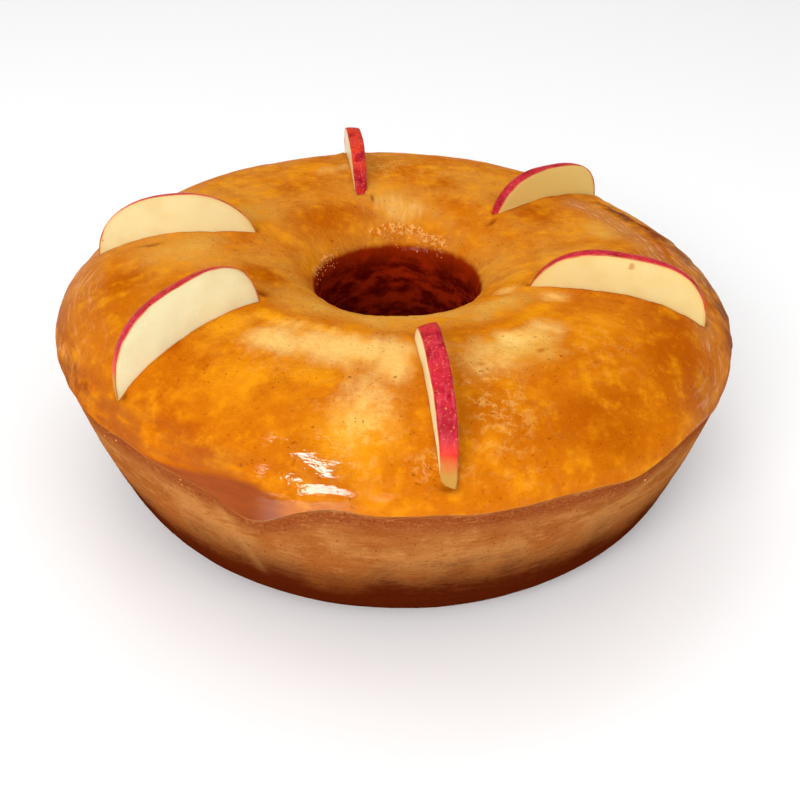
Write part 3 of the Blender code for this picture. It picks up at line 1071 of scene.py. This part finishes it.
def wavy(points, amount, seed):
    """Small slow offset that makes a knife's cut less than flat."""
    x, z = points[..., 0], points[..., 2]
    slow = np.sin(170.0 * x + seed) * np.cos(140.0 * z + 2.0 * seed)
    return amount * (slow + 0.5 * np.sin(420.0 * x + 300.0 * z + seed))


def flesh_loop(place, across):
    """Outline of the flesh at a place across the slice."""
    arc = arc_points(place, FLESH_STEPS, bevel_at(place, across) + PEEL_THICKNESS * 0.6)
    floor = np.linspace(arc[-1], arc[0], 25)[1:-1] + np.array([0.0, -0.0004])
    return np.concatenate([arc, floor])


def flesh_grid(place, seed):
    """Closed body of the slice as a grid: from one cut face over the rim to the other."""
    middle = np.array([0.0, 0.4 * SLICE_HEIGHT])
    shares = np.concatenate([np.linspace(0.02, 0.9, 9), [0.955, 0.985, 0.997]])
    rows = []
    inward = []
    for side, order in ((-1.0, shares), (1.0, shares[::-1])):
        loop = flesh_loop(place, side)
        for share in order:
            round_edge = 1.0 - 0.05 * smooth(0.96, 1.0, share)
            rows.append(moved_across(place, middle + (loop - middle) * share, side * round_edge))
            inward.append(1.0 - share)
        if side < 0.0:
            for edge in (-0.8, 0.0, 0.8):
                rows.append(moved_across(place, flesh_loop(place, edge), edge))
                inward.append(0.0)
    grid = np.array(rows)
    grid[..., 1] += wavy(grid, 0.0001, seed)
    return grid, np.repeat(inward, grid.shape[1])


def bruise_mask(place, points):
    """Above 0 near a brown mark, and 1 in its middle."""
    if place.name not in BRUISES:
        return np.full(len(points), -3.0)
    along, up, size = BRUISES[place.name]
    away = np.hypot(points[:, 0] - along, points[:, 2] - up)
    return (1.0 - away / size).clip(-3.0, 1.0)


def stand_slice(place, mesh, material):
    """Fill the small loops left in the middle of both cut faces, and put the piece in its place."""
    work = bmesh.new()
    work.from_mesh(mesh)
    edges = [edge for edge in work.edges if edge.is_boundary]
    bmesh.ops.holes_fill(work, edges=edges, sides=0)
    bmesh.ops.triangulate(work, faces=[face for face in work.faces if len(face.verts) > 4])
    bmesh.ops.recalc_face_normals(work, faces=work.faces)
    work.to_mesh(mesh)
    work.free()
    mesh.transform(slice_matrix(place))
    mesh.shade_smooth()
    mesh.materials.append(material)
    return add_object(mesh.name, mesh)


def make_flesh(place, material, seed):
    grid, inward = flesh_grid(place, seed)
    mesh = mesh_from_grid(place.name + "_flesh", grid, False)
    store(mesh, "inward", inward)
    store(mesh, "tone", np.full(inward.size, place.tone))
    store(mesh, "bruise", bruise_mask(place, grid.reshape(-1, 3)))
    return stand_slice(place, mesh, material)


def peel_grid(place, seed):
    """Closed strip of peel over the arc: outside across, then back underneath."""
    way = np.linspace(0.0, 1.0, PEEL_STEPS)
    ragged = 0.00007 * np.sin(31.0 * way + seed) + 0.00004 * np.sin(83.0 * way + 2.0 * seed)
    edges = [(edge, 0.00012 * abs(edge) ** 6 - 0.00018 * (1.0 - edge * edge))
             for edge in np.linspace(-1.0, 1.0, 9)]
    edges += [(0.97, PEEL_THICKNESS), (-0.97, PEEL_THICKNESS)]
    arcs = [arc_points(place, PEEL_STEPS, bevel_at(place, edge) + inset) for edge, inset in edges]
    rows = [moved_across(place, arc, edge, ragged) for arc, (edge, inset) in zip(arcs, edges)]
    return np.array(rows).transpose(1, 0, 2), np.array([edge for edge, inset in edges])


def make_peel(place, material, seed):
    grid, edges = peel_grid(place, seed)
    mesh = mesh_from_grid(place.name + "_peel", grid, False)
    way = np.repeat(np.linspace(1.0, -1.0, PEEL_STEPS), len(edges))
    across = np.tile(edges, PEEL_STEPS)
    dark = smooth(-0.35, -0.85, way) * (place.name in DARK_INNER_END)
    dark += 0.9 * np.exp(-((way - 0.5) / 0.09) ** 2) * (place.name in DARK_PATCH)
    store(mesh, "outer", way)
    store(mesh, "side", np.abs(across))
    store(mesh, "warm", np.full(len(way), float(place.name in WARM_PEEL)))
    store(mesh, "dark", dark)
    corner_points = np.zeros(len(mesh.loops), dtype=np.int32)
    mesh.loops.foreach_get("vertex_index", corner_points)
    length = 2.4 * SLICE_HALF_LENGTH * place.length
    sheet = np.stack([0.5 * (way + 1.0) * length, across * 0.5 * place.thickness], axis=1)[corner_points]
    mesh.uv_layers.new(name="peel").data.foreach_set("uv", sheet.ravel().astype(np.float32))
    return stand_slice(place, mesh, material)


def make_slices():
    apple = bpy.context.scene.ring_cake_apple
    flesh = flesh_finish(apple)
    peel = peel_finish(apple)
    for seed, place in enumerate(SLICES):
        for piece in (make_flesh(place, flesh, seed), make_peel(place, peel, seed)):
            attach(piece, BODY)
            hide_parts(place.name)


# Stage

CAMERA_PLACE = (0.0009, -0.35, 0.2592)
CAMERA_AIM = (0.002, -0.0542, 0.05)
CAMERA_ROLL = 0.96
LAMP_AIM = (0.0, 0.0, 0.06)

# Soft lights round the cake: azimuth and elevation in degrees, distance and
# size in metres, how bright each one's face is, and whether it only shows as a
# highlight or only lights softly
Lamp = namedtuple("Lamp", "name azimuth elevation distance size radiance mirrored")
LAMPS = (
    Lamp("front", -117.0, 30.0, 1.7, (1.0, 0.6), 9.6, False),
    Lamp("strip", -114.0, 22.0, 1.7, (1.22, 0.42), 18.0, True),
    Lamp("key", -131.0, 54.0, 1.7, (0.56, 0.24), 22.0, True),
    Lamp("top", 100.0, 60.0, 1.8, (0.12, 0.12), 20.0, True),
    Lamp("back", 85.0, 48.0, 3.2, (3.0, 1.2), 1.7, False),
    Lamp("back_left", 140.0, 60.0, 2.2, (1.2, 1.2), 1.0, False),
    Lamp("right", -40.0, 35.0, 2.0, (1.0, 0.6), 2.8, False),
)


def facing(place, aim):
    """Turn of a lamp or camera at a place so that it looks at aim."""
    return (Vector(aim) - Vector(place)).to_track_quat("-Z", "Y").to_matrix().to_4x4()


def make_floor(stage):
    bpy.ops.mesh.primitive_plane_add(size=6.0, location=(0.0, 0.0, -0.0002))
    floor = bpy.context.object
    floor.name = "floor"
    floor.data.materials.append(floor_finish(stage))


def add_light(lamp):
    """Rectangular light that looks at a point near the cake."""
    turn = math.radians(lamp.azimuth)
    rise = math.radians(lamp.elevation)
    outward = Vector((math.cos(turn) * math.cos(rise), math.sin(turn) * math.cos(rise), math.sin(rise)))
    place = outward * lamp.distance + Vector(LAMP_AIM)
    face = bpy.data.lights.new(lamp.name, "AREA")
    face.shape = "RECTANGLE"
    face.size, face.size_y = lamp.size
    face.energy = lamp.radiance * math.pi * face.size * face.size_y
    light = add_object(lamp.name, face)
    light.visible_glossy = lamp.mirrored
    light.visible_diffuse = not lamp.mirrored
    light.matrix_world = Matrix.Translation(place) @ facing(place, LAMP_AIM)


def make_camera(stage):
    lens = bpy.data.cameras.new("camera")
    lens.lens = stage.lens
    lens.sensor_width = 36.0
    lens.clip_start = 0.01
    camera = add_object("camera", lens)
    roll = Matrix.Rotation(math.radians(CAMERA_ROLL), 4, "Z")
    camera.matrix_world = Matrix.Translation(CAMERA_PLACE) @ facing(CAMERA_PLACE, CAMERA_AIM) @ roll
    bpy.context.scene.camera = camera


def make_world(stage):
    world = bpy.data.worlds.new("studio")
    world.use_nodes = True
    background = world.node_tree.nodes["Background"]
    white = (1, 1, 1.0, 1.0)
    Nodes(world.node_tree).fill(background, {"Color": white, "Strength": stage.room_light})
    world.cycles_visibility.glossy = False
    bpy.context.scene.world = world


def make_stage():
    stage = bpy.context.scene.ring_cake_stage
    bpy.context.scene.view_settings.view_transform = "Standard"
    make_floor(stage)
    for lamp in LAMPS:
        add_light(lamp)
    make_world(stage)
    make_camera(stage)


# Operators and panel

class RINGCAKE_OT_bake_cake(bpy.types.Operator):
    """Bake the ring with its crust, lip, sides and hole"""

    bl_idname = "ringcake.bake_cake"
    bl_label = "Bake cake"

    def execute(self, context):
        make_cake()
        return {"FINISHED"}


class RINGCAKE_OT_scatter_crumbs(bpy.types.Operator):
    """Scatter loose crumbs under the lip and round the hole"""

    bl_idname = "ringcake.scatter_crumbs"
    bl_label = "Scatter crumbs"

    def execute(self, context):
        make_crumbs()
        return {"FINISHED"}


class RINGCAKE_OT_stand_slices(bpy.types.Operator):
    """Stand the apple slices, flesh and peel, in the crust"""

    bl_idname = "ringcake.stand_slices"
    bl_label = "Stand apple slices"

    def execute(self, context):
        make_slices()
        return {"FINISHED"}


class RINGCAKE_OT_set_stage(bpy.types.Operator):
    """Set the floor, the lights and the camera"""

    bl_idname = "ringcake.set_stage"
    bl_label = "Set stage"

    def execute(self, context):
        make_stage()
        return {"FINISHED"}


OPERATORS = (
    RINGCAKE_OT_bake_cake,
    RINGCAKE_OT_scatter_crumbs,
    RINGCAKE_OT_stand_slices,
    RINGCAKE_OT_set_stage,
)


class RINGCAKE_PT_panel(bpy.types.Panel):
    """Lists the cake's steps in the order they are made"""

    bl_label = "Ring cake"
    bl_idname = "RINGCAKE_PT_panel"
    bl_space_type = "VIEW_3D"
    bl_region_type = "UI"
    bl_category = "Ring cake"

    def draw(self, context):
        for operator in OPERATORS:
            self.layout.operator(operator.bl_idname)


GROUPS = {
    "ring_cake_crust": RingCakeCrust,
    "ring_cake_apple": RingCakeApple,
    "ring_cake_stage": RingCakeStage,
}


def register():
    for name, group in GROUPS.items():
        bpy.utils.register_class(group)
        setattr(bpy.types.Scene, name, PointerProperty(type=group))
    for operator in OPERATORS:
        bpy.utils.register_class(operator)
    bpy.utils.register_class(RINGCAKE_PT_panel)


def unregister():
    bpy.utils.unregister_class(RINGCAKE_PT_panel)
    for operator in reversed(OPERATORS):
        bpy.utils.unregister_class(operator)
    for name, group in GROUPS.items():
        delattr(bpy.types.Scene, name)
        bpy.utils.unregister_class(group)


def main():
    register()
    for operator in OPERATORS:
        group, step = operator.bl_idname.split(".")
        getattr(getattr(bpy.ops, group), step)()


if __name__ == "__main__":
    main()
